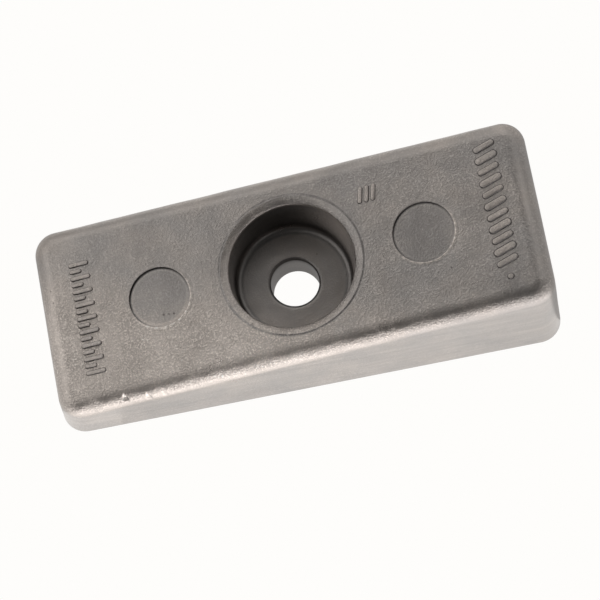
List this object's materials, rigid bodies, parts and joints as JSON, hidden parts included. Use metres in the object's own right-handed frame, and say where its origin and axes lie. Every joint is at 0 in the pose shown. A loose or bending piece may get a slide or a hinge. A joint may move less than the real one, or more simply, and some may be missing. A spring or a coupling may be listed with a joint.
{
  "type": "sacrificial anode",
  "caption": "Wedge-shaped zinc block that bolts flat to an immersed bracket: rounded upper edges, a deep tapered pocket for the bolt's head and a plain hole through the pocket's floor.",
  "frame": {"origin": "middle of the flat mounting face, where the bolt's axis leaves it", "axes": "+X from the thin end to the thick end along the block's length, +Z out of the mounting face along the bolt's axis, +Y across the width by the right-hand rule"},
  "size_m": [0.095, 0.0374, 0.0234],
  "materials": {
    "cast_zinc": null
  },
  "bodies": {
    "root": {"anode_block": "cast_zinc"}
  },
  "joints": []
}
